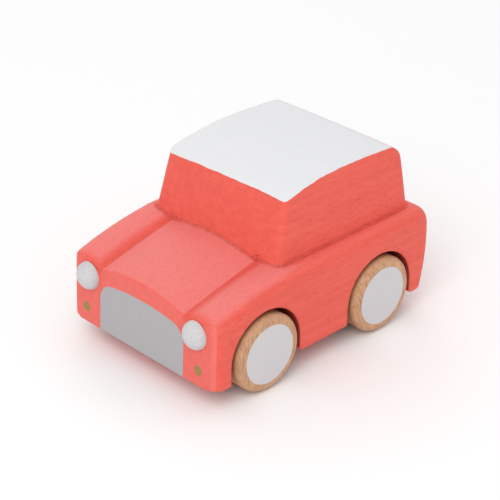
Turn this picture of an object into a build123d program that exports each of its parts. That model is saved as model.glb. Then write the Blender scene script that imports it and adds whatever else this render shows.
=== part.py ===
"""Pull-back toy car: a carved beech body on four beech wheels, with a spring motor on the rear axle.

Millimetres. X runs across the car (+X is its left side), Y along it (the front faces -Y), Z up.
The origin is on the ground under the middle of the whole car.
"""

import os
from math import atan2, cos, degrees, pi, radians, sin, sqrt, tan

from build123d import *

os.makedirs("parts", exist_ok=True)

# ------------------------------------------------------------------ driving dimensions
# Stance
wheelbase = 47.0
front_overhang = 20.2  # front axle to the foot of the front face
rear_overhang = 22.9  # rear axle to the fullest point of the back
body_width = 62.0
underside_height = 6.8

# Wheels
wheel_radius = 12.0  # wooden tread
wheel_stand_out = 1.2  # wheels proud of the body's sides
wheel_thickness = 11.5
wheel_rim_round = 2.0
wheel_inner_round = 0.6
grip_width = 3.0
grip_inset = 1.5  # groove to the wheel's inner face
grip_depth = 0.6  # of the groove in the tread
grip_stand = 0.3  # how far the rubber stands out of the tread
grip_round = 0.3
axle_radius = 1.25
axle_socket_depth = 7.0  # blind bore in the wheel
axle_chamfer = 0.3
running_clearance = 0.05  # radial, between a shaft and its bearing

# Wheel arches
arch_gap = 1.1  # rubber to arch, radially
arch_wall_gap = 1.0  # wheel's inner face to the wall behind it
arch_foot_round = 1.6

# Carved front of the body, at the nose, half way back and at the cabin
ridge_heights = (28.1, 32.1, 34.5)  # top of the fenders
valley_heights = (26.35, 29.95, 33.5)  # crease between fender and bonnet
crown_heights = (29.1, 32.6, 35.2)  # middle of the bonnet
valley_inset = 13.6  # crease from the side of the body
fender_round = 4.2  # outer edge of the fender, carried on round the deck and down the back
face_lean = 2.7  # degrees that the front face leans back
nose_corner_round = 3.4  # upright corners of the front
nose_foot_round = 0.4

# Back of the body
tail_radius = 64.0  # gentle curve of the back, seen from the side
tail_fullest_height = 24.0
tail_top_round = 6.5  # deck into the back, seen from the side
tail_foot_round = 2.8

# Cabin
cabin_front = 8.8  # foot of the cabin's front, behind the front axle
cabin_length = 55.6
cabin_inset = 4.9  # cabin's foot from the side of the body
cabin_corner_round = 2.6
cabin_top_corner_round = 1.8
cabin_front_lean = 14.1  # degrees
cabin_rear_lean = 6.0
cabin_upper_rear_lean = 11.5
cabin_rear_bend = 42.0  # height where the rear starts to lean more
cabin_upper_front_lean = 24.0
cabin_front_bend = 49.5
cabin_side_lean = 6.0
cabin_overlap = 2.0  # carved front carried in under the cabin
groove_width = 1.5  # sloping strip round the cabin's foot
roof_height = 55.9
roof_peak = 28.2  # highest point of the roof, behind the cabin's front
roof_front_radius = 90.0
roof_rear_radius = 240.0
roof_round = 1.1
roof_sag = 0.5  # roof lower over the sides of the body than in the middle
roof_overreach = 6.0  # roof curve drawn past the cabin at both ends
roof_rear_round = 6.5

# Headlights
lamp_radius = 4.3
lamp_dome = 3.4
lamp_inset = 8.2  # from the side of the body
lamp_rise = 16.1  # up the front face from its foot
lamp_shank_radius = 2.5
lamp_shank_length = 6.0
lamp_hole_spare = 0.5

# Front axle bushes
bush_radius = 2.5
bush_length = 8.0
bush_flange_radius = 3.6
bush_flange = 0.7

# Gears of the spring motor
gear_module = 0.5
pinion_teeth = 12
transfer_teeth = 28
barrel_teeth = 32
pressure_angle = 20.0  # degrees
gear_backlash = 0.12
addendum = 0.9  # in modules
dedendum = 1.25
transfer_direction = 128.0  # degrees from +Y, axle to transfer gear
barrel_direction = 186.0  # transfer gear to barrel

# Spring motor
motor_half_width = 10.0
motor_wall = 1.0
motor_fit = 0.25  # motor to the walls of its pocket
motor_corner_round = 1.5
gear_room = 0.5  # gear tip to casing
post_gap = 0.1  # least gap between the barrel's teeth and a screw post
end_play = 0.2  # gears and axle along the car's width
first_layer = (-8.2, -5.4)  # axle pinion and big transfer gear
second_layer = (-4.8, -2.6)  # small transfer gear and barrel gear
barrel_end = 7.8
barrel_wall = 0.9
barrel_lid_thickness = 0.8
gear_hub_radius = 1.9
arbor_radius = 1.5
shaft_radius = 0.8
shaft_float = 1.0  # how far the transfer shaft can back out of mesh
spring_thickness = 0.3
spring_turns = 7
spring_gap = 0.1  # spring to arbor and to barrel wall
lug_length = 6.0
lug_half_width = 5.0
lug_thickness = 1.6
lug_rise = 1.6  # lug above the casing's bottom
axle_slot_gap = 0.6
motor_screw_radius = 1.1
motor_screw_length = 8.0
case_screw_radius = 0.8
case_screw_length = 6.0
case_boss_radius = 1.7
screw_head_ratio = 1.9  # head radius over shank radius
screw_head_height = 1.2

# ------------------------------------------------------------------ places worked out from them
lean = radians(face_lean)
half_width = body_width / 2
wheel_outer_face = half_width + wheel_stand_out
valley_offset = half_width - valley_inset
cabin_half_width = half_width - cabin_inset
lamp_offset = half_width - lamp_inset
axle_height = wheel_radius + grip_stand
lamp_tip = lamp_dome * cos(lean) - lamp_rise * sin(lean)  # ahead of the face's foot
car_length = lamp_tip + front_overhang + wheelbase + rear_overhang
nose_y = lamp_tip - car_length / 2
front_axle_y = nose_y + front_overhang
rear_axle_y = front_axle_y + wheelbase
tail_y = rear_axle_y + rear_overhang
cabin_front_y = front_axle_y + cabin_front
cabin_rear_y = cabin_front_y + cabin_length
deck_height = ridge_heights[-1]
ledge_height = valley_heights[-1]
wheel_inner_face = wheel_outer_face - wheel_thickness
arch_wall = wheel_inner_face - arch_wall_gap
arch_radius = axle_height + arch_gap
axle_half_length = wheel_inner_face + axle_socket_depth

pinion_pitch = gear_module * pinion_teeth / 2
transfer_pitch = gear_module * transfer_teeth / 2
barrel_pitch = gear_module * barrel_teeth / 2
pinion_tip = pinion_pitch + addendum * gear_module
transfer_tip = transfer_pitch + addendum * gear_module
barrel_tip = barrel_pitch + addendum * gear_module
to_transfer = radians(transfer_direction)
to_barrel = radians(barrel_direction)
transfer_y = rear_axle_y + (pinion_pitch + transfer_pitch) * cos(to_transfer)
transfer_z = axle_height + (pinion_pitch + transfer_pitch) * sin(to_transfer)
barrel_y = transfer_y + (pinion_pitch + barrel_pitch) * cos(to_barrel)
barrel_z = transfer_z + (pinion_pitch + barrel_pitch) * sin(to_barrel)

inner_half_width = motor_half_width - motor_wall
case_margin = gear_room + motor_wall
case_boss_inset = motor_wall + case_boss_radius - 0.2
barrel_corner = (barrel_tip + post_gap + case_boss_radius) / sqrt(2) + case_boss_inset
barrel_reach = max(barrel_tip + case_margin, barrel_corner)
case_bottom = axle_height - pinion_tip - case_margin
case_top = max(transfer_z + transfer_tip + case_margin, barrel_z + barrel_reach)
case_front = barrel_y - barrel_reach
case_rear = rear_axle_y + pinion_tip + case_margin
case_length = case_rear - case_front
case_height = case_top - case_bottom
case_y = (case_front + case_rear) / 2
case_z = (case_bottom + case_top) / 2
lug_top = case_bottom + lug_rise + lug_thickness
motor_screw_places = (case_front - lug_length / 2, case_rear + lug_length / 2)


def across(x, y=0.0, z=0.0):
    """A plane square to the car's width: its own x runs along Y, its own y along Z."""
    return Plane(origin=(x, y, z), x_dir=(0, 1, 0), z_dir=(1, 0, 0))


def facing_back(y):
    """A plane square to the car's length: its own x runs along X, its own y along Z."""
    return Plane(origin=(0, y, 0), x_dir=(1, 0, 0), z_dir=(0, -1, 0))


def level(z):
    """A level plane at height z."""
    return Plane.XY.offset(z)


def finish(builder, name):
    """Labels a finished piece and writes it."""
    builder.part.label = name
    export_step(builder.part, f"parts/{name}.step")


def lamp_plane(side):
    """The front face at a headlight, looking out."""
    face = Plane(origin=(0, nose_y, underside_height), x_dir=(1, 0, 0), z_dir=(0, -cos(lean), sin(lean)))
    return Plane(
        origin=face.from_local_coords((side * lamp_offset, lamp_rise, 0)), x_dir=(1, 0, 0), z_dir=face.z_dir
    )


# ------------------------------------------------------------------ body block
above = 80.0  # higher than anything


def front_section(y, ridge, valley, crown):
    """Outline of the carved front across the car: fender, crease, bonnet, crease, fender."""
    shoulder = half_width - fender_round
    drop = fender_round * (1 - cos(pi / 4))
    with BuildSketch(facing_back(y)) as section:
        with BuildLine():
            for side in (1, -1):
                Line((side * half_width, underside_height), (side * half_width, ridge - fender_round))
                ThreePointArc(
                    (side * half_width, ridge - fender_round),
                    (side * (half_width - drop), ridge - drop),
                    (side * shoulder, ridge),
                )
                TangentArc((side * shoulder, ridge), (side * valley_offset, valley), tangent=(-side, 0))
            ThreePointArc((valley_offset, valley), (0, crown), (-valley_offset, valley))
            Line((-half_width, underside_height), (half_width, underside_height))
        make_face()
    return section.sketch


with BuildPart() as front_envelope:
    # What the leaning face and its rounded upright corners leave of the front.
    with BuildSketch(across(-half_width)):
        with BuildLine():
            Polyline(
                (nose_y, underside_height),
                (cabin_front_y + cabin_overlap, underside_height),
                (cabin_front_y + cabin_overlap, above),
                (nose_y + (above - underside_height) * tan(lean), above),
                close=True,
            )
        make_face()
    extrude(amount=body_width)
    front_face = front_envelope.faces().sort_by(Axis.Y)[0]
    fillet(front_face.edges().filter_by(Axis.X, reverse=True), nose_corner_round)

stations = (nose_y, (nose_y + cabin_front_y) / 2, cabin_front_y + cabin_overlap)
with BuildPart() as front_half:
    loft([front_section(*row) for row in zip(stations, ridge_heights, valley_heights, crown_heights)])
    add(front_envelope.part, mode=Mode.INTERSECT)

foot_y = tail_y - tail_radius + sqrt(tail_radius**2 - (tail_fullest_height - underside_height) ** 2)
deck_y = tail_y - tail_radius + sqrt(tail_radius**2 - (deck_height - tail_fullest_height) ** 2)


def back_view(start_y):
    """Side view of the body from start_y back, with the back's curve and its rounded upper edge."""
    with BuildSketch(across(-half_width)) as view:
        with BuildLine():
            Line((start_y, underside_height), (foot_y, underside_height))
            ThreePointArc((foot_y, underside_height), (tail_y, tail_fullest_height), (deck_y, deck_height))
            Polyline((deck_y, deck_height), (start_y, deck_height), (start_y, underside_height))
        make_face()
        fillet(view.vertices().group_by(Axis.Y)[-1].sort_by(Axis.X)[-1], tail_top_round)
    return view.sketch


with BuildPart() as rear_half:
    # A plain block with a curved back; one rounding runs along the deck's sides and down the back.
    extrude(back_view(cabin_front_y), amount=body_width)
    for side_face in (rear_half.faces().sort_by(Axis.X)[0], rear_half.faces().sort_by(Axis.X)[-1]):
        rim = side_face.edges().filter_by_position(Axis.Y, cabin_front_y + 0.1, tail_y + 1)
        fillet(rim.sort_by(Axis.Z)[1:], fender_round)

with BuildPart() as foot_envelope:
    # The body's lower front and back edges, rounded; the sides' lower edges are sharp.
    with BuildSketch(across(-half_width)) as foot_view:
        with BuildLine():
            Polyline(
                (nose_y + (above - underside_height) * tan(lean), above),
                (nose_y, underside_height),
                (foot_y, underside_height),
            )
            ThreePointArc((foot_y, underside_height), (tail_y, tail_fullest_height), (deck_y, deck_height))
            Polyline(
                (deck_y, deck_height),
                (deck_y, above),
                (nose_y + (above - underside_height) * tan(lean), above),
            )
        make_face()
        front_foot, rear_foot = foot_view.vertices().sort_by(Axis.Y)[:2].sort_by(Axis.X)
        fillet(front_foot, nose_foot_round)
        fillet(rear_foot, tail_foot_round)
    extrude(amount=body_width)


def cabin_outline(z, corner):
    """The cabin's rounded plan at height z, narrower the higher it is."""
    front = cabin_front_y + (z - crown_heights[-1]) * tan(radians(cabin_front_lean))
    rear = cabin_rear_y - (z - ledge_height) * tan(radians(cabin_rear_lean))
    side = cabin_half_width - (z - ledge_height) * tan(radians(cabin_side_lean))
    with BuildSketch(Plane(origin=(0, (front + rear) / 2, z))) as outline:
        RectangleRounded(2 * side, rear - front, corner)
    return outline.sketch


def roof_outline(x, sag):
    """Everything under the roof, seen from the side and lowered by sag, with its ends eased."""
    peak = Vector(cabin_front_y + roof_peak, roof_height - sag)
    front_reach = roof_peak + roof_overreach
    rear_reach = cabin_length - roof_peak + roof_overreach
    front_end = peak - Vector(front_reach, roof_front_radius - sqrt(roof_front_radius**2 - front_reach**2))
    rear_end = peak + Vector(rear_reach, sqrt(roof_rear_radius**2 - rear_reach**2) - roof_rear_radius)
    base = deck_height - fender_round
    front_bend_y = cabin_front_y + (cabin_front_bend - crown_heights[-1]) * tan(radians(cabin_front_lean))
    rear_bend_y = cabin_rear_y - (cabin_rear_bend - ledge_height) * tan(radians(cabin_rear_lean))
    front_tilt = tan(radians(cabin_upper_front_lean))
    rear_tilt = tan(radians(cabin_upper_rear_lean))
    with BuildSketch(across(x)) as outline:
        with BuildLine():
            TangentArc(peak, front_end, tangent=(-1, 0))
            Polyline(front_end, (front_end.X, base), (rear_end.X, base), rear_end)
            TangentArc(peak, rear_end, tangent=(1, 0))
        make_face()
        with BuildLine():
            Polyline(
                (front_bend_y + (base - cabin_front_bend) * front_tilt, base),
                (rear_bend_y - (base - cabin_rear_bend) * rear_tilt, base),
                (rear_bend_y - (above - cabin_rear_bend) * rear_tilt, above),
                (front_bend_y + (above - cabin_front_bend) * front_tilt, above),
                close=True,
            )
        make_face(mode=Mode.INTERSECT)
        corners = outline.vertices()
        fillet(corners.sort_by(Axis.X)[-2:].sort_by(Axis.Y)[-1], roof_rear_round)
        fillet(corners.sort_by(Axis.X)[:2].sort_by(Axis.Y)[-1], roof_round)
    return outline.sketch


with BuildPart() as roof_envelope:
    loft([roof_outline(side * half_width, abs(side) * roof_sag) for side in (-1, 0, 1)])

with BuildPart() as cabin:
    low, high = deck_height - fender_round + 0.5, roof_height + 5
    loft([cabin_outline(low, cabin_corner_round), cabin_outline(high, cabin_top_corner_round)])
    add(roof_envelope.part, mode=Mode.INTERSECT)

with BuildPart() as ledge_groove:
    # Sloping strip that the carving leaves round the cabin's foot, except along the bonnet.
    groove_depth = deck_height - ledge_height
    groove_slope = degrees(atan2(groove_width, groove_depth))
    with BuildSketch(Plane(origin=(0, (cabin_front_y + cabin_rear_y) / 2, ledge_height))):
        RectangleRounded(2 * cabin_half_width, cabin_length, cabin_corner_round)
    extrude(amount=groove_depth + 0.2, taper=-groove_slope)
    with BuildSketch(level(ledge_height)):
        with Locations((0, cabin_front_y)):
            Rectangle(2 * valley_offset, 2 * groove_width + 2 * cabin_overlap)
    extrude(amount=groove_depth + 1, mode=Mode.SUBTRACT)

with BuildPart() as wheel_arches:
    # Four arches: round over the wheel, straight down to a rounded foot at the underside.
    for axle_y in (front_axle_y, rear_axle_y):
        for side in (1, -1):
            with BuildSketch(across(side * arch_wall, axle_y, axle_height)):
                Circle(arch_radius)
                with Locations((0, -axle_height / 2)):
                    Rectangle(2 * arch_radius, axle_height)
            extrude(amount=side * (half_width - arch_wall + 1))
            with BuildSketch(across(side * arch_wall, axle_y, underside_height)):
                with BuildLine():
                    for end in (1, -1):
                        Polyline(
                            (end * arch_radius, arch_foot_round),
                            (end * arch_radius, 0),
                            (end * (arch_radius + arch_foot_round), 0),
                        )
                        TangentArc(
                            (end * arch_radius, arch_foot_round),
                            (end * (arch_radius + arch_foot_round), 0),
                            tangent=(0, -1),
                        )
                make_face()
            extrude(amount=side * (half_width - arch_wall + 1))

with BuildPart() as motor_pocket:
    # Room for the motor, its two lugs and the rear axle, open to the underside.
    below = underside_height / 2
    with BuildSketch(Plane(origin=(0, case_y, below))):
        Rectangle(2 * (motor_half_width + motor_fit), case_length + 2 * motor_fit)
    extrude(amount=case_top + motor_fit - below)
    with BuildSketch(Plane(origin=(0, case_y, below))):
        Rectangle(2 * (lug_half_width + motor_fit), case_length + 2 * (lug_length + motor_fit))
    extrude(amount=lug_top - below)
    with BuildSketch(across(-arch_wall - 1, rear_axle_y, axle_height)):
        Circle(axle_radius + axle_slot_gap)
        with Locations((0, -axle_height / 2)):
            Rectangle(2 * (axle_radius + axle_slot_gap), axle_height)
    extrude(amount=2 * (arch_wall + 1))
    for screw_y in motor_screw_places:
        with BuildSketch(Plane(origin=(0, screw_y, lug_top - 1))):
            Circle(motor_screw_radius)
        extrude(amount=motor_screw_length - lug_thickness + 1)

with BuildPart() as drilled_holes:
    # The front axle's cross hole, wide at its ends for the bushes, and the headlights' blind holes.
    with BuildSketch(across(-arch_wall - 1, front_axle_y, axle_height)):
        Circle(axle_radius + axle_slot_gap)
    extrude(amount=2 * (arch_wall + 1))
    for side in (1, -1):
        with BuildSketch(across(side * (arch_wall + 1), front_axle_y, axle_height)):
            Circle(bush_radius)
        extrude(amount=-side * (bush_length + 1))
        with BuildSketch(lamp_plane(side)):
            Circle(lamp_shank_radius)
        extrude(amount=-(lamp_shank_length + lamp_hole_spare))
        with BuildSketch(lamp_plane(side)):
            Circle(lamp_shank_radius)
        extrude(amount=lamp_dome)

with BuildPart() as body_block:
    add(rear_half.part)
    add(front_half.part)
    add(foot_envelope.part, mode=Mode.INTERSECT)
    add(cabin.part)
    add(ledge_groove.part, mode=Mode.SUBTRACT)
    add(cabin.part)
    add(wheel_arches.part, mode=Mode.SUBTRACT)
    add(motor_pocket.part, mode=Mode.SUBTRACT)
    add(drilled_holes.part, mode=Mode.SUBTRACT)
finish(body_block, "body_block")

# ------------------------------------------------------------------ headlights
for side, hand in ((1, "left"), (-1, "right")):
    face = lamp_plane(side)
    with BuildPart() as headlight:
        # A turned mushroom peg: half an ellipse for the dome and a plain shank behind it.
        with BuildSketch(Plane(origin=face.origin, x_dir=face.z_dir, z_dir=(1, 0, 0))):
            with BuildLine():
                EllipticalCenterArc((0, 0), lamp_dome, lamp_radius, start_angle=0, arc_size=90)
                Polyline(
                    (0, lamp_radius),
                    (0, lamp_shank_radius),
                    (-lamp_shank_length, lamp_shank_radius),
                    (-lamp_shank_length, 0),
                    (lamp_dome, 0),
                )
            make_face()
        revolve(axis=Axis(face.origin, face.z_dir))
    finish(headlight, f"{hand}_headlight")


# ------------------------------------------------------------------ wheels, rubber grips and axles
def lathe_plane(axle_y):
    """A level plane through an axle: its own x runs along the axle, its own y is the radius."""
    return Plane(origin=(0, axle_y, axle_height), x_dir=(1, 0, 0), z_dir=(0, 0, 1))


def axle_axis(axle_y):
    """The line of an axle."""
    return Axis((0, axle_y, axle_height), (1, 0, 0))


for axle_y, end in ((front_axle_y, "front"), (rear_axle_y, "rear")):
    for side, hand in ((1, "left"), (-1, "right")):
        groove_start = wheel_inner_face + grip_inset
        groove_end = groove_start + grip_width
        groove_radius = wheel_radius - grip_depth
        face_radius = wheel_radius - wheel_rim_round
        with BuildPart() as wheel:
            with BuildSketch(lathe_plane(axle_y)):
                with BuildLine():
                    Polyline(
                        (side * (wheel_inner_face + axle_socket_depth), 0),
                        (side * (wheel_inner_face + axle_socket_depth), axle_radius),
                        (side * wheel_inner_face, axle_radius),
                        (side * wheel_inner_face, wheel_radius - wheel_inner_round),
                        (side * (wheel_inner_face + wheel_inner_round), wheel_radius),
                        (side * groove_start, wheel_radius),
                        (side * groove_start, groove_radius),
                        (side * groove_end, groove_radius),
                        (side * groove_end, wheel_radius),
                        (side * (wheel_outer_face - wheel_rim_round), wheel_radius),
                    )
                    TangentArc(
                        (side * (wheel_outer_face - wheel_rim_round), wheel_radius),
                        (side * wheel_outer_face, face_radius),
                        tangent=(side, 0),
                    )
                    Polyline(
                        (side * wheel_outer_face, face_radius),
                        (side * wheel_outer_face, 0),
                        (side * (wheel_inner_face + axle_socket_depth), 0),
                    )
                make_face()
            revolve(axis=axle_axis(axle_y))
        finish(wheel, f"{end}_{hand}_wheel")
        with BuildPart() as grip:
            grip_radius = wheel_radius + grip_stand
            with BuildSketch(lathe_plane(axle_y)):
                with BuildLine():
                    Polyline(
                        (side * groove_start, grip_radius - grip_round),
                        (side * groove_start, groove_radius),
                        (side * groove_end, groove_radius),
                        (side * groove_end, grip_radius - grip_round),
                    )
                    TangentArc(
                        (side * groove_end, grip_radius - grip_round),
                        (side * (groove_end - grip_round), grip_radius),
                        tangent=(0, 1),
                    )
                    Line(
                        (side * (groove_end - grip_round), grip_radius),
                        (side * (groove_start + grip_round), grip_radius),
                    )
                    TangentArc(
                        (side * (groove_start + grip_round), grip_radius),
                        (side * groove_start, grip_radius - grip_round),
                        tangent=(-side, 0),
                    )
                make_face()
            revolve(axis=axle_axis(axle_y))
        finish(grip, f"{end}_{hand}_grip")
    with BuildPart() as axle:
        with BuildSketch(across(-axle_half_length, axle_y, axle_height)):
            Circle(axle_radius)
        extrude(amount=2 * axle_half_length)
        chamfer(axle.edges().filter_by(GeomType.CIRCLE), axle_chamfer)
    finish(axle, f"{end}_axle")

for side, hand in ((1, "left"), (-1, "right")):
    with BuildPart() as bush:
        # A flanged nylon sleeve: the flange keeps the wheel off the wood.
        with BuildSketch(across(side * arch_wall, front_axle_y, axle_height)):
            Circle(bush_radius)
        extrude(amount=-side * bush_length)
        with BuildSketch(across(side * arch_wall, front_axle_y, axle_height)):
            Circle(bush_flange_radius)
        extrude(amount=side * bush_flange)
        with BuildSketch(across(side * (arch_wall + bush_flange), front_axle_y, axle_height)):
            Circle(axle_radius + running_clearance)
        extrude(amount=-side * (bush_flange + bush_length), mode=Mode.SUBTRACT)
    finish(bush, f"front_{hand}_bush")


# ------------------------------------------------------------------ gears
def involute_angle(radius, base):
    """Angle that an involute has turned from its base circle by the given radius."""
    if radius <= base:
        return 0.0
    roll = sqrt((radius / base) ** 2 - 1)
    return roll - atan2(roll, 1)


def gear_sketch(plane, teeth, tooth_angle):
    """Outline of a spur gear with one tooth centred at tooth_angle, thinned for its backlash."""
    pitch = gear_module * teeth / 2
    base = pitch * cos(radians(pressure_angle))
    tip = pitch + addendum * gear_module
    root = pitch - dedendum * gear_module
    start = max(base, root)
    half_tooth = pi / (2 * teeth) - gear_backlash / (4 * pitch) + involute_angle(pitch, base)
    radii = [start + (tip - start) * step / 4 for step in range(5)]

    def at(radius, angle):
        return (radius * cos(angle), radius * sin(angle))

    with BuildSketch(plane) as sketch:
        with BuildLine():
            for tooth in range(teeth):
                middle = tooth_angle + 2 * pi * tooth / teeth
                after = middle + 2 * pi / teeth
                rising = [at(r, middle - half_tooth + involute_angle(r, base)) for r in radii]
                falling = [at(r, middle + half_tooth - involute_angle(r, base)) for r in radii]
                Spline(*rising)
                ThreePointArc(rising[-1], at(tip, middle), falling[-1])
                Spline(*reversed(falling))
                if root < base:
                    Line(falling[0], at(root, middle + half_tooth))
                    Line(at(root, after - half_tooth), at(base, after - half_tooth))
                ThreePointArc(
                    at(min(root, start), middle + half_tooth),
                    at(min(root, start), middle + pi / teeth),
                    at(min(root, start), after - half_tooth),
                )
        make_face()
    return sketch.sketch


with BuildPart() as axle_pinion:
    # Moulded on the axle; its hub fills the casing's width and so locates the axle.
    teeth = gear_sketch(across(first_layer[0], rear_axle_y, axle_height), pinion_teeth, to_transfer)
    extrude(teeth, amount=first_layer[1] - first_layer[0])
    for start, stop in (
        (first_layer[0], -inner_half_width + end_play),
        (first_layer[1], inner_half_width - end_play),
    ):
        with BuildSketch(across(start, rear_axle_y, axle_height)):
            Circle(gear_hub_radius)
        extrude(amount=stop - start)
    with BuildSketch(across(-motor_half_width, rear_axle_y, axle_height)):
        Circle(axle_radius)
    extrude(amount=2 * motor_half_width, mode=Mode.SUBTRACT)
finish(axle_pinion, "axle_pinion")

with BuildPart() as transfer_gear:
    # Big gear driven by the pinion and small gear on the barrel, in one moulding.
    gap_at_pinion = to_transfer + pi + pi / transfer_teeth
    big = gear_sketch(across(first_layer[0], transfer_y, transfer_z), transfer_teeth, gap_at_pinion)
    extrude(big, amount=first_layer[1] - first_layer[0])
    small = gear_sketch(across(first_layer[1], transfer_y, transfer_z), pinion_teeth, to_barrel)
    extrude(small, amount=second_layer[1] - first_layer[1])
    for start, stop in (
        (first_layer[0], -inner_half_width + end_play),
        (second_layer[1], inner_half_width - end_play),
    ):
        with BuildSketch(across(start, transfer_y, transfer_z)):
            Circle(gear_hub_radius)
        extrude(amount=stop - start)
    with BuildSketch(across(-motor_half_width, transfer_y, transfer_z)):
        Circle(shaft_radius + running_clearance)
    extrude(amount=2 * motor_half_width, mode=Mode.SUBTRACT)
finish(transfer_gear, "transfer_gear")

with BuildPart() as transfer_shaft:
    with BuildSketch(across(-motor_half_width, transfer_y, transfer_z)):
        Circle(shaft_radius)
    extrude(amount=2 * motor_half_width)
finish(transfer_shaft, "transfer_shaft")

barrel_radius = barrel_pitch - dedendum * gear_module
barrel_bore = barrel_radius - barrel_wall
with BuildPart() as spring_barrel:
    # A toothed cup that holds the spring, turning on the fixed arbor.
    gap_at_transfer = to_barrel + pi + pi / barrel_teeth
    teeth = gear_sketch(across(second_layer[0], barrel_y, barrel_z), barrel_teeth, gap_at_transfer)
    extrude(teeth, amount=second_layer[1] - second_layer[0])
    with BuildSketch(across(second_layer[1], barrel_y, barrel_z)):
        Circle(barrel_radius)
        Circle(barrel_bore, mode=Mode.SUBTRACT)
    extrude(amount=barrel_end - second_layer[1])
    with BuildSketch(across(-inner_half_width + end_play, barrel_y, barrel_z)):
        Circle(arbor_radius + barrel_wall)
    extrude(amount=inner_half_width - end_play + second_layer[0])
    with BuildSketch(across(-motor_half_width, barrel_y, barrel_z)):
        Circle(arbor_radius + running_clearance)
    extrude(amount=2 * motor_half_width, mode=Mode.SUBTRACT)
finish(spring_barrel, "spring_barrel")

with BuildPart() as barrel_lid:
    with BuildSketch(across(barrel_end, barrel_y, barrel_z)):
        Circle(barrel_radius)
        Circle(arbor_radius + running_clearance, mode=Mode.SUBTRACT)
    extrude(amount=barrel_lid_thickness)
finish(barrel_lid, "barrel_lid")

with BuildPart() as spring_arbor:
    with BuildSketch(across(-motor_half_width, barrel_y, barrel_z)):
        Circle(arbor_radius)
    extrude(amount=2 * motor_half_width)
finish(spring_arbor, "spring_arbor")

with BuildPart() as mainspring:
    # Flat steel strip wound in an even spiral from the arbor out to the barrel's wall.
    spring_start = arbor_radius + spring_gap
    spring_pitch = (barrel_bore - spring_gap - spring_thickness - spring_start) / spring_turns
    steps = 8 * spring_turns
    inner_coil, outer_coil = [], []
    for step in range(steps + 1):
        turn = 2 * pi * step / 8
        radius = spring_start + spring_pitch * step / 8
        inner_coil.append((radius * cos(turn), radius * sin(turn)))
        outer_coil.append(((radius + spring_thickness) * cos(turn), (radius + spring_thickness) * sin(turn)))
    with BuildSketch(across(second_layer[1] + spring_gap, barrel_y, barrel_z)):
        with BuildLine():
            Spline(*inner_coil)
            Line(inner_coil[-1], outer_coil[-1])
            Spline(*reversed(outer_coil))
            Line(outer_coil[0], inner_coil[0])
        make_face()
    extrude(amount=barrel_end - second_layer[1] - 2 * spring_gap)
finish(mainspring, "mainspring")

# ------------------------------------------------------------------ motor casing
case_screw_places = (
    (case_front + case_boss_inset, case_bottom + case_boss_inset),
    (case_front + case_boss_inset, case_top - case_boss_inset),
    (case_rear - case_boss_inset, case_top - case_boss_inset),
)
slot_direction = (cos(to_transfer), sin(to_transfer))


def shaft_holes(x):
    """The axle's bearing, the arbor's seat and the floating shaft's slot in a casing wall."""
    with BuildSketch(across(x)) as holes:
        with Locations((rear_axle_y, axle_height)):
            Circle(axle_radius + running_clearance)
        with Locations((barrel_y, barrel_z)):
            Circle(arbor_radius)
        middle = (
            transfer_y + slot_direction[0] * shaft_float / 2,
            transfer_z + slot_direction[1] * shaft_float / 2,
        )
        with Locations(Location(middle, transfer_direction)):
            SlotCenterToCenter(shaft_float, 2 * shaft_radius)
    return holes.sketch


with BuildPart() as motor_base:
    # Open box: one side wall and the rim all round, with screw posts and two lugs.
    with BuildSketch(across(-motor_half_width, case_y, case_z)):
        RectangleRounded(case_length, case_height, motor_corner_round)
    extrude(amount=2 * motor_half_width - motor_wall)
    with BuildSketch(across(-inner_half_width, case_y, case_z)):
        RectangleRounded(
            case_length - 2 * motor_wall, case_height - 2 * motor_wall, motor_corner_round - motor_wall / 2
        )
    extrude(amount=2 * inner_half_width, mode=Mode.SUBTRACT)
    with BuildSketch(across(-inner_half_width)):
        with Locations(*case_screw_places):
            Circle(case_boss_radius)
    extrude(amount=2 * inner_half_width)
    with BuildSketch(across(inner_half_width)):
        with Locations(*case_screw_places):
            Circle(case_screw_radius)
    extrude(amount=-(case_screw_length - motor_wall), mode=Mode.SUBTRACT)
    for lug_y, outward in ((case_front, -1), (case_rear, 1)):
        with BuildSketch(Plane(origin=(0, lug_y + outward * lug_length / 2, lug_top - lug_thickness))):
            Rectangle(2 * lug_half_width, lug_length)
        extrude(amount=lug_thickness)
    for screw_y in motor_screw_places:
        with BuildSketch(Plane(origin=(0, screw_y, lug_top - lug_thickness))):
            Circle(motor_screw_radius)
        extrude(amount=lug_thickness, mode=Mode.SUBTRACT)
    extrude(shaft_holes(-motor_half_width), amount=motor_wall, mode=Mode.SUBTRACT)
finish(motor_base, "motor_base")

countersink_depth = case_screw_radius * (screw_head_ratio - 1)
with BuildPart() as motor_cover:
    with BuildSketch(across(inner_half_width, case_y, case_z)):
        RectangleRounded(case_length, case_height, motor_corner_round)
    extrude(amount=motor_wall)
    with BuildSketch(across(inner_half_width)):
        with Locations(*case_screw_places):
            Circle(case_screw_radius)
    extrude(amount=motor_wall, mode=Mode.SUBTRACT)
    with BuildSketch(across(motor_half_width)):
        with Locations(*case_screw_places):
            Circle(case_screw_radius * screw_head_ratio)
    extrude(amount=-countersink_depth, taper=45, mode=Mode.SUBTRACT)
    extrude(shaft_holes(inner_half_width), amount=motor_wall, mode=Mode.SUBTRACT)
finish(motor_cover, "motor_cover")

with BuildPart() as case_screws:
    # Countersunk, flush with the cover.
    with BuildSketch(across(motor_half_width)):
        with Locations(*case_screw_places):
            Circle(case_screw_radius)
    extrude(amount=-case_screw_length)
    with BuildSketch(across(motor_half_width)):
        with Locations(*case_screw_places):
            Circle(case_screw_radius * screw_head_ratio)
    extrude(amount=-countersink_depth, taper=45)
finish(case_screws, "case_screws")

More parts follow.
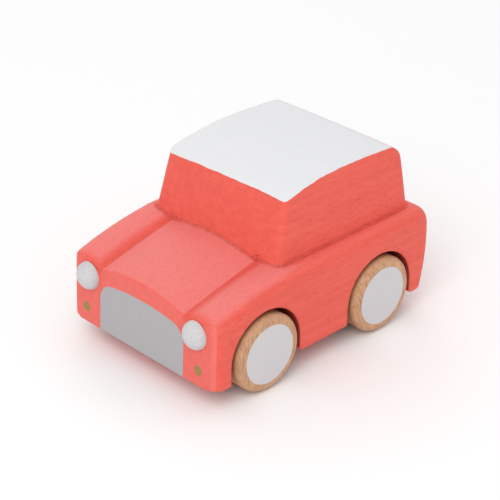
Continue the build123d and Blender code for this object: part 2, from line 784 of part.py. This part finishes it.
with BuildPart() as motor_screws:
    # Pan-head wood screws through the lugs, up into the body.
    for screw_y in motor_screw_places:
        with BuildSketch(Plane(origin=(0, screw_y, lug_top - lug_thickness))):
            Circle(motor_screw_radius)
        extrude(amount=motor_screw_length)
        with BuildSketch(Plane(origin=(0, screw_y, lug_top - lug_thickness))):
            Circle(motor_screw_radius * screw_head_ratio)
        extrude(amount=-screw_head_height)
finish(motor_screws, "motor_screws")
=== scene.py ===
from math import radians

import bmesh
import bpy
from mathutils import Matrix, Vector
from mathutils.bvhtree import BVHTree


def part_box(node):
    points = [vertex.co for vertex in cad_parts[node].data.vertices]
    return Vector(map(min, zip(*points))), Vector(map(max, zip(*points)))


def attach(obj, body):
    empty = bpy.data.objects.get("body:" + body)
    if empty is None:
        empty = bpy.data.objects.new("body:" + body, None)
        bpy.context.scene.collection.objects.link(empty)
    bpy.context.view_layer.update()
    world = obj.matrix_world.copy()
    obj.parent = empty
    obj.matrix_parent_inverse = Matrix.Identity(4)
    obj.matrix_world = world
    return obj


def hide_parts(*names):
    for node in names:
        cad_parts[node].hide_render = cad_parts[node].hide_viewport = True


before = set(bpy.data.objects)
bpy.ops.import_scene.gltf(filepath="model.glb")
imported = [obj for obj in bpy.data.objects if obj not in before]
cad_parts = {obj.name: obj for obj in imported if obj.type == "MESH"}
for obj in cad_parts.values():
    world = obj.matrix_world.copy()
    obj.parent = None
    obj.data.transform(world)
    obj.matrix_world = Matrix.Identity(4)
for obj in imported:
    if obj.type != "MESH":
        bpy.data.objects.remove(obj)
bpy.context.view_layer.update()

MM = 0.001

# ---------------------------------------------------------------- the sweep of paper it stands on
# A wide sheet of white paper, lit evenly from all round, with one soft box above the car's nose and
# another behind its far side. The camera is a long lens a little over half a metre away.
front_axle_low, front_axle_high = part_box("front_axle")
rear_axle_low, rear_axle_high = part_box("rear_axle")
front_axle = (front_axle_low + front_axle_high) / 2
rear_axle = (rear_axle_low + rear_axle_high) / 2
between_axles = (front_axle.y + rear_axle.y) / 2

paper_mesh = bpy.data.meshes.new("paper")
paper_build = bmesh.new()
bmesh.ops.create_grid(paper_build, x_segments=1, y_segments=1, size=3.0)
paper_build.to_mesh(paper_mesh)
paper_build.free()
paper = bpy.data.objects.new("paper", paper_mesh)
bpy.context.scene.collection.objects.link(paper)
paper_finish = bpy.data.materials.new("white_paper")
paper_finish.use_nodes = True
paper_surface = paper_finish.node_tree.nodes["Principled BSDF"]
paper_surface.inputs["Base Color"].default_value = (0.95, 0.95, 0.95, 1)
paper_surface.inputs["Roughness"].default_value = 0.9
paper_surface.inputs["Specular IOR Level"].default_value = 0.1
paper_mesh.materials.append(paper_finish)

sky = bpy.data.worlds.new("studio")
bpy.context.scene.world = sky
sky.use_nodes = True
sky.node_tree.nodes["Background"].inputs["Color"].default_value = (1, 1, 1, 1)
sky.node_tree.nodes["Background"].inputs["Strength"].default_value = 0.82


lit_point = Vector((0, 0, 0.02))


def soft_box(name, place, size, watts):
    """A square area light that faces the middle of the car."""
    light = bpy.data.lights.new(name, "AREA")
    light.size = size
    light.energy = watts
    lamp = bpy.data.objects.new(name, light)
    lamp.location = place
    lamp.rotation_euler = (lit_point - Vector(place)).to_track_quat("-Z", "Y").to_euler()
    bpy.context.scene.collection.objects.link(lamp)


soft_box("key_box", (0.3, -0.5, 0.6), 0.5, 2.4)
soft_box("far_box", (-0.6, 0.45, 0.5), 0.5, 0.7)

lens = bpy.data.cameras.new("camera")
lens.sensor_width = 36.0
lens.lens = 126.164
lens.clip_start = 0.05
camera = bpy.data.objects.new("camera", lens)
camera_place = (0.325917, between_axles - 0.316968, 0.276410)
camera_heading = radians(45.811)
camera_pitch = radians(90 - 29.051)
camera_roll = radians(0.19)
camera.matrix_world = (
    Matrix.Translation(camera_place)
    @ Matrix.Rotation(camera_heading, 4, "Z")
    @ Matrix.Rotation(camera_pitch, 4, "X")
    @ Matrix.Rotation(camera_roll, 4, "Z")
)
bpy.context.scene.collection.objects.link(camera)
bpy.context.scene.camera = camera
bpy.context.scene.view_settings.view_transform = "Standard"


# ---------------------------------------------------------------- body
# One block of beech, bandsawn and sanded, with the cabin left standing and shallow creases carved
# beside the bonnet. It is stained coral red; the roof, the grille and two gold dabs are paint.
class Finish:
    """A wood, paint, metal or plastic finish, built from the position on the piece in millimetres."""

    def __init__(self, name):
        self.material = bpy.data.materials.new(name)
        self.material.use_nodes = True
        self.tree = self.material.node_tree
        self.surface = self.tree.nodes["Principled BSDF"]
        place = self.add("ShaderNodeTexCoord").outputs["Object"]
        per_metre = (1 / MM, 1 / MM, 1 / MM)
        self.place = self.add("ShaderNodeVectorMath", place, per_metre, operation="MULTIPLY").outputs[0]
        split = self.add("ShaderNodeSeparateXYZ", self.place)
        self.x, self.y, self.z = split.outputs

    def add(self, kind, *values, **settings):
        """A node with its settings made and its first sockets fed in order."""
        made = self.tree.nodes.new(kind)
        for key, value in settings.items():
            setattr(made, key, value)
        for socket, value in zip(made.inputs, values):
            self.feed(socket, value)
        return made

    def feed(self, socket, value):
        """Links a socket to another node's output, or sets it to a constant."""
        if isinstance(value, bpy.types.NodeSocket):
            self.tree.links.new(value, socket)
        elif value is not None:
            socket.default_value = value

    def math(self, operation, *values):
        """One Math node's result."""
        return self.add("ShaderNodeMath", *values, operation=operation).outputs[0]

    def times(self, first, *others):
        """Values multiplied together."""
        for other in others:
            first = self.math("MULTIPLY", first, other)
        return first

    def less(self, first, *others):
        """The first value less all the others."""
        for other in others:
            first = self.math("SUBTRACT", first, other)
        return first

    def square(self, value):
        """A value times itself."""
        return self.math("POWER", value, 2.0)

    def length(self, first, second):
        """The length of a line that runs so far one way and so far at a right angle to it."""
        return self.math("SQRT", self.math("ADD", self.square(first), self.square(second)))

    def step(self, value, low, high, start=0.0, end=1.0):
        """A soft step from start to end while value goes from low to high."""
        made = self.add("ShaderNodeMapRange", value, low, high, start, end, interpolation_type="SMOOTHSTEP")
        return made.outputs[0]

    def mix(self, share, first, second):
        """A blend of two colours. A Mix node keeps its colours in sockets 6 and 7, and gives output 2."""
        made = self.add("ShaderNodeMix", data_type="RGBA")
        self.feed(made.inputs[0], share)
        self.feed(made.inputs[6], first)
        self.feed(made.inputs[7], second)
        return made.outputs[2]

    def shade(self, share, colour, darkest):
        """The colour darkened towards a share of itself."""
        return self.mix(share, colour, self.scaled(colour, darkest))

    def scaled(self, colour, amount):
        """The colour times one number."""
        made = self.add("ShaderNodeMix", data_type="RGBA", blend_type="MULTIPLY")
        self.feed(made.inputs[0], 1.0)
        self.feed(made.inputs[6], colour)
        self.feed(made.inputs[7], (amount, amount, amount, 1))
        return made.outputs[2]

    def noise(self, per_mm, detail=2.0, roughness=0.5, turn=(0.0, 0.0, 0.0), seed=0.0):
        """Noise with so many features per millimetre along each axis, after a turn, from 0 to 1."""
        turned = self.add("ShaderNodeVectorRotate", self.place, rotation_type="EULER_XYZ")
        self.feed(turned.inputs["Rotation"], turn)
        fitted = self.add("ShaderNodeMapping", turned.outputs[0], (seed, seed, seed), (0, 0, 0), per_mm)
        made = self.add("ShaderNodeTexNoise")
        self.feed(made.inputs["Vector"], fitted.outputs[0])
        self.feed(made.inputs["Scale"], 1.0)
        self.feed(made.inputs["Detail"], detail)
        self.feed(made.inputs["Roughness"], roughness)
        return made.outputs[0]

    def relief(self, height, depth):
        """A bump of so many millimetres under the whole finish."""
        made = self.add("ShaderNodeBump")
        self.feed(made.inputs["Strength"], 1.0)
        self.feed(made.inputs["Distance"], depth * MM)
        self.feed(made.inputs["Height"], height)
        self.feed(self.surface.inputs["Normal"], made.outputs[0])

    def set(self, **values):
        """Sets or links sockets of the surface, named with underscores for spaces."""
        for key, value in values.items():
            self.feed(self.surface.inputs[key.replace("_", " ")], value)


def linear(red, green, blue):
    """A display colour, 0 to 255, as the linear colour that a shader takes."""
    parts = [value / 255 for value in (red, green, blue)]
    return tuple(p / 12.92 if p <= 0.04045 else ((p + 0.055) / 1.055) ** 2.4 for p in parts) + (1.0,)


block_low, block_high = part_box("body_block")
half_width = block_high.x / MM
sill = block_low.z / MM
front_foot = block_low.y / MM
cabin_front = front_axle.y / MM + 8.8
roof_top = block_high.z / MM
roof_peak = cabin_front + 28.2
roof_front_radius = 90.0
roof_rear_radius = 240.0
roof_side_sag = 0.5
crease_offset = 17.4
arch_radius = front_axle.z / MM + 1.1
arch_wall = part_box("front_left_wheel")[0].x / MM - 1.0
skin_step = 0.42  # edge length of the body's even skin

body_build = bmesh.new()
body_build.from_mesh(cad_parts["body_block"].data)
bmesh.ops.remove_doubles(body_build, verts=body_build.verts, dist=0.002 * MM)
carved_mesh = bpy.data.meshes.new("carved_body")
body_build.to_mesh(carved_mesh)
body_build.free()
carved_body = bpy.data.objects.new("carved_body", carved_mesh)
bpy.context.scene.collection.objects.link(carved_body)


def apply_modifiers():
    """Gives the body the mesh that its modifiers make."""
    made = carved_body.evaluated_get(bpy.context.evaluated_depsgraph_get())
    carved_body.data = bpy.data.meshes.new_from_object(made)
    carved_body.modifiers.clear()


even_skin = carved_body.modifiers.new("even_skin", "REMESH")
even_skin.mode = "VOXEL"
even_skin.voxel_size = skin_step * MM
apply_modifiers()

# The upper edge of the front is filed round, more on the fenders than on the bonnet between the creases.
nose_lean = 0.04716  # how far the front face leans back over each millimetre of height
fender_nose_round = 3.2
bonnet_nose_round = 0.9
round_blend = 3.0  # width over which one round becomes the other
filed_half_width = 29.0
filed_fade = 2.5
filed_above = 20
least_round = 0.05
probe_inset = 0.4  # keeps the probe for the top's height clear of the face
probe_height = 50
body_build = bmesh.new()
body_build.from_mesh(carved_body.data)
uncut = BVHTree.FromBMesh(body_build)
for corner in body_build.verts:
    x, y, z = corner.co / MM
    face_y = front_foot + (z - sill) * nose_lean
    on_fender = min(max((abs(x) - crease_offset) / round_blend, 0.0), 1.0)
    edge_round = bonnet_nose_round + (fender_nose_round - bonnet_nose_round) * on_fender
    edge_round *= min(max((filed_half_width - abs(x)) / filed_fade, 0.0), 1.0)
    if edge_round < least_round or y - face_y > edge_round or z < filed_above:
        continue
    above = Vector((x, max(y, face_y + probe_inset), probe_height)) * MM
    hit = uncut.ray_cast(above, Vector((0, 0, -1)))[0]
    if hit is None:
        continue
    reach = Vector((y - face_y - edge_round, z - (hit.z / MM - edge_round)))
    if reach.y > 0 and reach.length > edge_round:
        reach *= edge_round / reach.length
        corner.co = Vector((x, face_y + edge_round + reach.x, hit.z / MM - edge_round + reach.y)) * MM


def sand(corners, passes):
    """Rounds the body off at the given vertices."""
    for _ in range(passes):
        bmesh.ops.smooth_vert(
            body_build, verts=corners, factor=0.5, use_axis_x=True, use_axis_y=True, use_axis_z=True
        )


# The fenders' upper front corners and the front's two lower corners are sanded most, then the whole body.
fender_inside = 24
fender_shoulder = 25.5
nose_depth = 7
side_inside = 28
side_bottom = 18
foot_inside = 27.5
foot_depth = 3.6
foot_top = 11
nose_corners = []
foot_corners = []
for corner in body_build.verts:
    x, y, z = corner.co
    on_shoulder = abs(x) > fender_inside * MM and z > fender_shoulder * MM
    on_side = abs(x) > side_inside * MM and z > side_bottom * MM
    if y < (front_foot + nose_depth) * MM and (on_shoulder or on_side):
        nose_corners.append(corner)
    if abs(x) > foot_inside * MM and y < (front_foot + foot_depth) * MM and z < foot_top * MM:
        foot_corners.append(corner)
sand(nose_corners, 14)
sand(foot_corners, 12)
sand(body_build.verts, 2)

# How hollow or how sharp the surface is at each vertex: painted shade goes in the hollows and the stain
# wears off edges.
hollow_start = 0.006
hollow_span = 0.014
sharp_start = 0.008
sharp_span = 0.03
body_build.normal_update()
bend = []
for corner in body_build.verts:
    beside = [edge.other_vert(corner).co for edge in corner.link_edges]
    around = sum(beside, Vector()) / len(beside)
    bend.append((around - corner.co).dot(corner.normal) / MM)
hollow_layer = body_build.verts.layers.float.new("hollow")
sharp_layer = body_build.verts.layers.float.new("sharp")
body_build.verts.index_update()
for corner in body_build.verts:
    near = [bend[edge.other_vert(corner).index] for edge in corner.link_edges]
    bent = (bend[corner.index] + sum(near) / len(near)) / 2
    corner[hollow_layer] = min(max((bent - hollow_start) / hollow_span, 0.0), 1.0)
    corner[sharp_layer] = min(max((-bent - sharp_start) / sharp_span, 0.0), 1.0)
for face in body_build.faces:
    face.smooth = True
body_build.to_mesh(carved_body.data)
body_build.free()
thinning = carved_body.modifiers.new("thinning", "DECIMATE")
thinning.ratio = 0.5
apply_modifiers()

stain = Finish("coral_stained_beech")
growth = stain.noise((0.45, 0.02, 0.45), seed=3.0)
fibre = stain.noise((3.2, 0.16, 3.2), detail=3.0, roughness=0.65, seed=11.0)
pores = stain.step(stain.noise((4.2, 0.34, 4.2), detail=1.0, seed=5.0), 0.65, 0.72)
wood = stain.mix(stain.step(growth, 0.3, 0.7), linear(231, 89, 75), linear(236, 96, 82))
hollow = stain.add("ShaderNodeAttribute", attribute_name="hollow").outputs["Fac"]
sharp = stain.add("ShaderNodeAttribute", attribute_name="sharp").outputs["Fac"]

# Painted highlight: faces that look up, the bonnet most, are made lighter pink as if lit from above. The
# stain is also rubbed thinner at the body's edges, and the front's upright corners and the upper ends are
# made lighter too. The slope beside each crease gets little of this lightening.
facing = stain.add("ShaderNodeSeparateXYZ", stain.add("ShaderNodeTexCoord").outputs["Normal"])
facing_up = stain.step(facing.outputs[2], 0.5, 0.97)
facing_ends = stain.step(stain.math("ABSOLUTE", facing.outputs[1]), 0.75, 0.9)
beside_middle = stain.math("ABSOLUTE", stain.x)
past_crease = stain.less(beside_middle, crease_offset)
# The slope beside each crease, which gets painted shade below.
shaded_slope = stain.times(
    stain.step(past_crease, -0.25, 0.15),
    stain.step(past_crease, 0.4, 4.6, 1.0, 0.0),
    stain.step(stain.y, cabin_front - 0.3, cabin_front + 0.3, 1.0, 0.0),
    stain.step(stain.z, 24.6, 25.4),
)
below_cabin = stain.step(stain.z, 34.6, 35.6, 1.0, 0.0)
above_arches = stain.times(below_cabin, stain.step(stain.z, 25.5, 27.5))
worn_edge = stain.times(sharp, above_arches, 0.6)
on_bonnet = stain.step(stain.y, cabin_front - 1, cabin_front + 9, 1.0, 0.3)
# Painted highlight on the faces that look up, joined with the wear on the edges.
wear_and_top_light = stain.math("MAXIMUM", stain.times(facing_up, on_bonnet), worn_edge)
front_face = stain.math("ADD", stain.times(stain.less(stain.z, sill), nose_lean), front_foot)
behind_face = stain.less(stain.y, front_face)
on_corner = stain.times(
    stain.step(beside_middle, 28.0, 29.2), stain.step(behind_face, 1.0, 1.3, 1.0, 0.0)
)
wear_and_top_light = stain.math("MAXIMUM", wear_and_top_light, stain.times(on_corner, 0.65))
wear_and_top_light = stain.times(wear_and_top_light, stain.step(shaded_slope, 0.0, 1.0, 0.62, 0.1))
on_nose = stain.times(facing_ends, stain.step(stain.z, 30.0, 33.0, 0.22, 0.0))
wear_and_top_light = stain.math("MAXIMUM", wear_and_top_light, on_nose)
# Lighter pink from the painted top highlight and from wear.
wood = stain.mix(wear_and_top_light, wood, linear(236, 133, 130))
# Painted shade: the fender's inner slope beside each crease is made a darker, deeper red.
wood = stain.mix(stain.times(shaded_slope, 0.6), wood, linear(222, 78, 64))

# Open grain along the car, sanding strokes on top, and the fine lines of the saw on the two ends: upright
# on the body below, level on the cabin above.
wood = stain.shade(stain.step(fibre, 0.40, 0.70, 0.0, 0.55), wood, 0.82)
pore_share = stain.times(
    stain.step(facing_ends, 0.0, 1.0, 0.55, 0.1),
    stain.step(facing_up, 0.2, 0.9, 1.0, 0.2),
    stain.step(on_corner, 0.0, 1.0, 1.0, 0.1),
)
wood = stain.mix(stain.times(pores, pore_share), wood, linear(182, 58, 46))
strokes = stain.noise((2.6, 0.22, 2.6), detail=3.0, roughness=0.6, turn=(0, 0, radians(-30)), seed=15.0)
strokes = stain.times(stain.step(strokes, 0.42, 0.68), facing_up)
wood = stain.shade(stain.times(strokes, 0.6), wood, 0.92)
upright_lines = stain.noise((3.0, 3.0, 0.12), detail=3.0, roughness=0.6, seed=13.0)
level_lines = stain.noise((0.1, 4.0, 4.0), detail=3.0, roughness=0.6, seed=17.0)
on_cabin = stain.step(stain.z, 32.0, 33.5)
saw_lines = stain.add("ShaderNodeMix", on_cabin, None, upright_lines, level_lines).outputs[0]
saw_marks = stain.times(stain.step(saw_lines, 0.42, 0.68), facing_ends)
wood = stain.shade(stain.times(saw_marks, 0.7), wood, 0.88)

# Painted shade darkens the hollows, less at the bonnet creases and least at the one on the car's left, and
# the inside of the wheel arches.
# The knife has left small chips where the creases meet the cabin.
hollow_shade = stain.times(hollow, stain.step(stain.noise((0.6, 0.6, 0.6), seed=29.0), 0.3, 0.65, 0.5, 1.0))
ahead_share = stain.step(stain.x, -5.0, 5.0, 0.4, 0.15)
in_front = stain.step(stain.y, cabin_front - 1.2, cabin_front - 0.7, ahead_share, 1.0)
wood = stain.mix(stain.times(hollow_shade, in_front, 0.58), wood, linear(172, 52, 40))
# Painted shade inside each wheel arch, on its wall beside the wheel.
above_axle = stain.math("MAXIMUM", stain.less(stain.z, front_axle.z / MM), 0.0)
from_front = stain.length(stain.less(stain.y, front_axle.y / MM), above_axle)
from_rear = stain.length(stain.less(stain.y, rear_axle.y / MM), above_axle)
nearest_axle = stain.math("MINIMUM", from_front, from_rear)
arch_shade = stain.times(
    stain.step(nearest_axle, arch_radius + 0.05, arch_radius + 0.2, 1.0, 0.0),
    stain.step(beside_middle, arch_wall - 0.1, arch_wall, 0.0, 0.75),
)
wood = stain.mix(arch_shade, wood, linear(128, 40, 32))
at_crease_end = stain.step(stain.math("ABSOLUTE", past_crease), 0.9, 2.4, 1.0, 0.0)
chips = stain.step(stain.noise((1.7, 1.7, 1.7), seed=31.0), 0.54, 0.61)
from_cabin = stain.math("ABSOLUTE", stain.less(stain.y, cabin_front))
near_cabin = stain.step(from_cabin, 0.45, 0.9, 1.0, 0.0)
low_down = stain.step(stain.z, 35.0, 35.6, 1.0, 0.0)
chips = stain.times(stain.times(chips, near_cabin), stain.times(at_crease_end, low_down))
wood = stain.mix(stain.times(chips, 0.8), wood, linear(140, 52, 40))

# White roof paint, brushed by hand to just under the roof's edge and a little lower towards the car's right.
slant_start = 21.0
paint_slant = 0.018
past_peak = stain.less(stain.y, roof_peak)
roof_radius = stain.step(past_peak, -0.01, 0.01, roof_front_radius, roof_rear_radius)
roof_run = stain.math("SQRT", stain.less(stain.square(roof_radius), stain.square(past_peak)))
roof_drop = stain.less(roof_radius, roof_run)
roof_sag = stain.times(stain.square(stain.math("DIVIDE", stain.x, half_width)), roof_side_sag)
under_roof = stain.less(roof_top, roof_drop, roof_sag, stain.z)
brush_wander = stain.times(stain.less(stain.noise((0.35, 0.35, 0.35), seed=21.0), 0.5), 0.5)
paint_depth = stain.times(stain.math("MAXIMUM", stain.less(slant_start, stain.x), 0.0), paint_slant)
past_paint = stain.less(stain.math("ADD", under_roof, brush_wander), paint_depth)
painted_roof = stain.step(past_paint, 0.30, 0.38, 1.0, 0.0)
white = stain.mix(stain.noise((0.12, 0.12, 0.12), seed=8.0), linear(224, 224, 226), linear(219, 220, 222))
specks = stain.step(stain.noise((1.6, 1.6, 1.6), detail=0.0, seed=41.0), 0.78, 0.82)
white = stain.shade(stain.times(specks, 0.6), white, 0.75)
finish_colour = stain.mix(painted_roof, wood, white)

# Silver-grey grille, masked off, with a crowned top and round upper corners. It runs down to the sill.
grille_half_width = 17.9
grille_crown = 24.0
crown_fall = 0.0062
grille_corner = 4.5
grille_top = stain.less(grille_crown, stain.times(stain.square(stain.x), crown_fall))
past_side = stain.less(beside_middle, grille_half_width - grille_corner)
past_top = stain.less(stain.z, stain.less(grille_top, grille_corner))
round_corner = stain.length(
    stain.math("MAXIMUM", past_side, 0.0), stain.math("MAXIMUM", past_top, 0.0)
)
inside = stain.math("MINIMUM", stain.math("MAXIMUM", past_side, past_top), 0.0)
from_grille = stain.less(stain.math("ADD", round_corner, inside), grille_corner)
on_face = stain.step(stain.y, front_foot + 2.4, front_foot + 2.6, 1.0, 0.0)
above_sill = stain.step(stain.z, sill + 0.05, sill + 0.15)
painted_grille = stain.times(stain.step(from_grille, -0.04, 0.04, 1.0, 0.0), on_face, above_sill)
silver_grain = stain.noise((3.0, 3.0, 0.25), detail=3.0, seed=51.0)
silver = stain.mix(silver_grain, linear(163, 161, 163), linear(175, 173, 175))
finish_colour = stain.mix(painted_grille, finish_colour, silver)

# Two gold dabs below the headlights.
dab_offset = 24.1
dab_height = 12.1
dab_radius = 1.5
from_dab = stain.length(stain.less(beside_middle, dab_offset), stain.less(stain.z, dab_height))
painted_dab = stain.times(stain.step(from_dab, dab_radius - 0.08, dab_radius + 0.08, 1.0, 0.0), on_face)
gold = stain.mix(stain.step(from_dab, 0.2, 0.9), linear(160, 122, 74), linear(152, 124, 58))
finish_colour = stain.mix(painted_dab, finish_colour, gold)

paint = stain.math("MAXIMUM", painted_roof, stain.math("MAXIMUM", painted_grille, painted_dab))
grain_relief = stain.math("ADD", stain.times(pores, -0.8), stain.times(fibre, 0.5))
smoothed = stain.step(stain.math("MAXIMUM", paint, facing_up), 0.0, 1.0, 1.0, 0.25)
paint_relief = stain.times(paint, 1.2)
stain.relief(stain.math("ADD", stain.times(grain_relief, smoothed), paint_relief), 0.03)
stain.set(Base_Color=finish_colour, Roughness=stain.step(paint, 0.0, 1.0, 0.5, 0.58))
stain.set(Specular_IOR_Level=0.35)

carved_body.data.materials.clear()
carved_body.data.materials.append(stain.material)
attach(carved_body, "body")
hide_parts("body_block")


def finish_node(name, finish):
    """Gives a CAD piece its finish."""
    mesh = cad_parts[name].data
    mesh.materials.clear()
    mesh.materials.append(finish.material)


# ---------------------------------------------------------------- headlights
# Turned wooden pegs with a domed head, sprayed white. Each is glued by its shank into a blind hole in the
# front face, above a gold dab.
lamp_paint = Finish("lamp_white")
lamp_grain = lamp_paint.noise((0.8, 3.5, 5.0), detail=3.0, seed=61.0)
lamp_pits = lamp_paint.noise((1.3, 1.3, 1.3), detail=3.0, roughness=0.65, seed=63.0)
lamp_pits = lamp_paint.step(lamp_pits, 0.50, 0.68)
lamp_white = lamp_paint.mix(lamp_grain, linear(205, 203, 204), linear(195, 193, 194))
lamp_white = lamp_paint.shade(lamp_paint.times(lamp_pits, 0.7), lamp_white, 0.82)
lamp_paint.relief(lamp_paint.less(lamp_grain, lamp_pits), 0.03)
lamp_paint.set(Base_Color=lamp_white, Roughness=0.5, Specular_IOR_Level=0.35)
for hand in ("left", "right"):
    finish_node(f"{hand}_headlight", lamp_paint)


# ---------------------------------------------------------------- wheels
# Beech discs turned on a lathe and lightly oiled, with a white painted face inside a bare rim. The
# grain runs straight across each disc, so the rim shows it lengthways at the sides and endways below.
white_disc_radius = 9.17
wheel_outer_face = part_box("front_left_wheel")[1].x / MM


def turned_beech(name, axle, grain_turn):
    """Bare beech with a white disc on the outer face, for the wheels of one axle."""
    turned = Finish(name)
    rings = turned.noise((1.3, 1.1, 0.05), detail=3.0, turn=grain_turn, seed=71.0)
    lines = turned.noise((6.0, 4.2, 0.16), detail=3.0, turn=grain_turn, seed=73.0)
    flecks = turned.step(turned.noise((3.0, 3.4, 0.45), turn=grain_turn, seed=75.0), 0.60, 0.70)
    beech = turned.mix(turned.step(rings, 0.3, 0.7), linear(214, 166, 128), linear(194, 145, 108))
    beech = turned.shade(turned.step(lines, 0.42, 0.66), beech, 0.7)
    beech = turned.shade(turned.times(flecks, 0.6), beech, 0.66)
    from_middle = turned.math("ABSOLUTE", turned.x)
    from_face = turned.less(wheel_outer_face, from_middle)
    # Painted shade: the rim darkens towards the wheel's inner side, which runs in under the arch.
    beech = turned.mix(turned.step(from_face, 0.4, 3.5, 0.0, 0.7), beech, linear(172, 116, 80))

    radius = turned.length(turned.less(turned.y, axle.y / MM), turned.less(turned.z, axle.z / MM))
    wander = turned.times(turned.less(turned.noise((0.5, 0.5, 0.5)), 0.5), 0.35)
    past_edge = turned.less(turned.math("ADD", radius, wander), white_disc_radius)
    on_outer_face = turned.step(from_middle, wheel_outer_face - 0.6, wheel_outer_face - 0.5)
    disc = turned.times(turned.step(past_edge, -0.05, 0.05, 1.0, 0.0), on_outer_face)
    disc_white = turned.mix(lines, linear(210, 207, 209), linear(200, 197, 199))
    pits = turned.step(turned.noise((2.0, 2.0, 2.0), detail=0.0, seed=77.0), 0.78, 0.83)
    disc_white = turned.shade(turned.times(pits, 0.4), disc_white, 0.8)

    grain_relief = turned.math("ADD", turned.times(lines, 0.6), turned.times(flecks, -0.8))
    painted_relief = turned.math("ADD", turned.times(grain_relief, 0.3), 1.3)
    height = turned.add("ShaderNodeMix", disc, None, grain_relief, painted_relief)
    turned.relief(height.outputs[0], 0.03)
    turned.set(Base_Color=turned.mix(disc, beech, disc_white), Specular_IOR_Level=0.35)
    turned.set(Roughness=turned.step(disc, 0.0, 1.0, 0.46, 0.55))
    return turned


for end, axle, grain_angle in (("front", front_axle, 6), ("rear", rear_axle, -20)):
    wheel_beech = turned_beech(f"{end}_wheel_beech", axle, (radians(grain_angle), 0, 0))
    for hand in ("left", "right"):
        finish_node(f"{end}_{hand}_wheel", wheel_beech)

# ---------------------------------------------------------------- rubber rings
# Black rubber rings for grip. Each is stretched over its wheel and snaps into a groove near the wheel's
# inner face.
rubber = Finish("grip_rubber")
dust = rubber.noise((1.5, 1.5, 1.5), detail=4.0, roughness=0.7, seed=81.0)
rubber.set(Base_Color=rubber.mix(rubber.step(dust, 0.35, 0.75), linear(34, 33, 33), linear(58, 56, 54)))
rubber.set(Roughness=rubber.step(dust, 0.3, 0.8, 0.6, 0.85), Specular_IOR_Level=0.3)
rubber.relief(dust, 0.02)
for end in ("front", "rear"):
    for hand in ("left", "right"):
        finish_node(f"{end}_{hand}_grip", rubber)

# ---------------------------------------------------------------- axles, shafts and the fixed arbor
# Drawn steel rod, cut to length, with fine draw lines along it. The axles are pressed into the wheels, the
# transfer gear's shaft floats in the casing's slots, and the arbor is held in the casing's walls.
rod_steel = Finish("drawn_steel")
draw_lines = rod_steel.noise((0.2, 9.0, 9.0), detail=3.0, seed=91.0)
rod_colour = rod_steel.mix(draw_lines, linear(196, 196, 198), linear(150, 150, 154))
rod_steel.set(Base_Color=rod_colour, Metallic=1.0)
rod_steel.set(Roughness=rod_steel.step(draw_lines, 0.3, 0.7, 0.24, 0.42))
rod_steel.relief(draw_lines, 0.008)
for name in ("front_axle", "rear_axle", "transfer_shaft", "spring_arbor"):
    finish_node(name, rod_steel)

# ---------------------------------------------------------------- nylon bushes, gears and spring barrel
# Moulded natural nylon, milky white, with a faint cloudy flow pattern and a satin surface. The bushes sit
# in the front cross hole, the pinion is pressed on the rear axle, and the barrel turns on the arbor.
nylon = Finish("natural_nylon")
flow = nylon.noise((0.4, 0.4, 0.4), detail=3.0, seed=101.0)
nylon.set(Base_Color=nylon.mix(flow, linear(236, 232, 220), linear(222, 217, 203)), Roughness=0.38)
nylon.set(Subsurface_Weight=0.2, Subsurface_Radius=(0.002, 0.0017, 0.0013), Subsurface_Scale=0.5)
nylon.relief(nylon.noise((5.0, 5.0, 5.0), detail=2.0, seed=103.0), 0.006)
for name in ("front_left_bush", "front_right_bush", "axle_pinion", "transfer_gear"):
    finish_node(name, nylon)
for name in ("spring_barrel", "barrel_lid"):
    finish_node(name, nylon)

# ---------------------------------------------------------------- mainspring
# Blued spring steel strip, oily, with straw and blue heat colours. It is wound in an even spiral and lies
# slack in the barrel, under its lid.
spring_steel = Finish("blued_spring_steel")
heat = spring_steel.noise((0.3, 0.3, 0.3), detail=2.0, seed=111.0)
spring_steel.set(Base_Color=spring_steel.mix(heat, linear(70, 82, 118), linear(128, 112, 92)), Metallic=1.0)
spring_steel.set(Roughness=0.3)
finish_node("mainspring", spring_steel)

# ---------------------------------------------------------------- motor casing
# Two black mouldings with a fine sparked texture, closed by three small countersunk screws. The motor sits
# in a pocket under the body and is held by two lugs.
casing = Finish("black_motor_casing")
sparked = casing.noise((6.0, 6.0, 6.0), detail=3.0, roughness=0.7, seed=121.0)
handled = casing.noise((0.5, 0.5, 0.5), detail=3.0, seed=123.0)
casing.set(Base_Color=casing.mix(casing.step(handled, 0.4, 0.8), linear(38, 38, 40), linear(56, 56, 58)))
casing.set(Roughness=casing.step(sparked, 0.3, 0.7, 0.42, 0.62))
casing.relief(sparked, 0.02)
for name in ("motor_base", "motor_cover"):
    finish_node(name, casing)

# ---------------------------------------------------------------- screws
# Bright zinc-plated steel, with the faint yellow-grey bloom of the plating. Three screws close the casing,
# and two hold its lugs to the body.
zinc = Finish("zinc_plate")
bloom = zinc.noise((1.2, 1.2, 1.2), detail=3.0, seed=131.0)
zinc.set(Base_Color=zinc.mix(bloom, linear(206, 205, 198), linear(170, 168, 158)), Metallic=1.0)
zinc.set(Roughness=zinc.step(bloom, 0.3, 0.7, 0.26, 0.45))
for name in ("case_screws", "motor_screws"):
    finish_node(name, zinc)
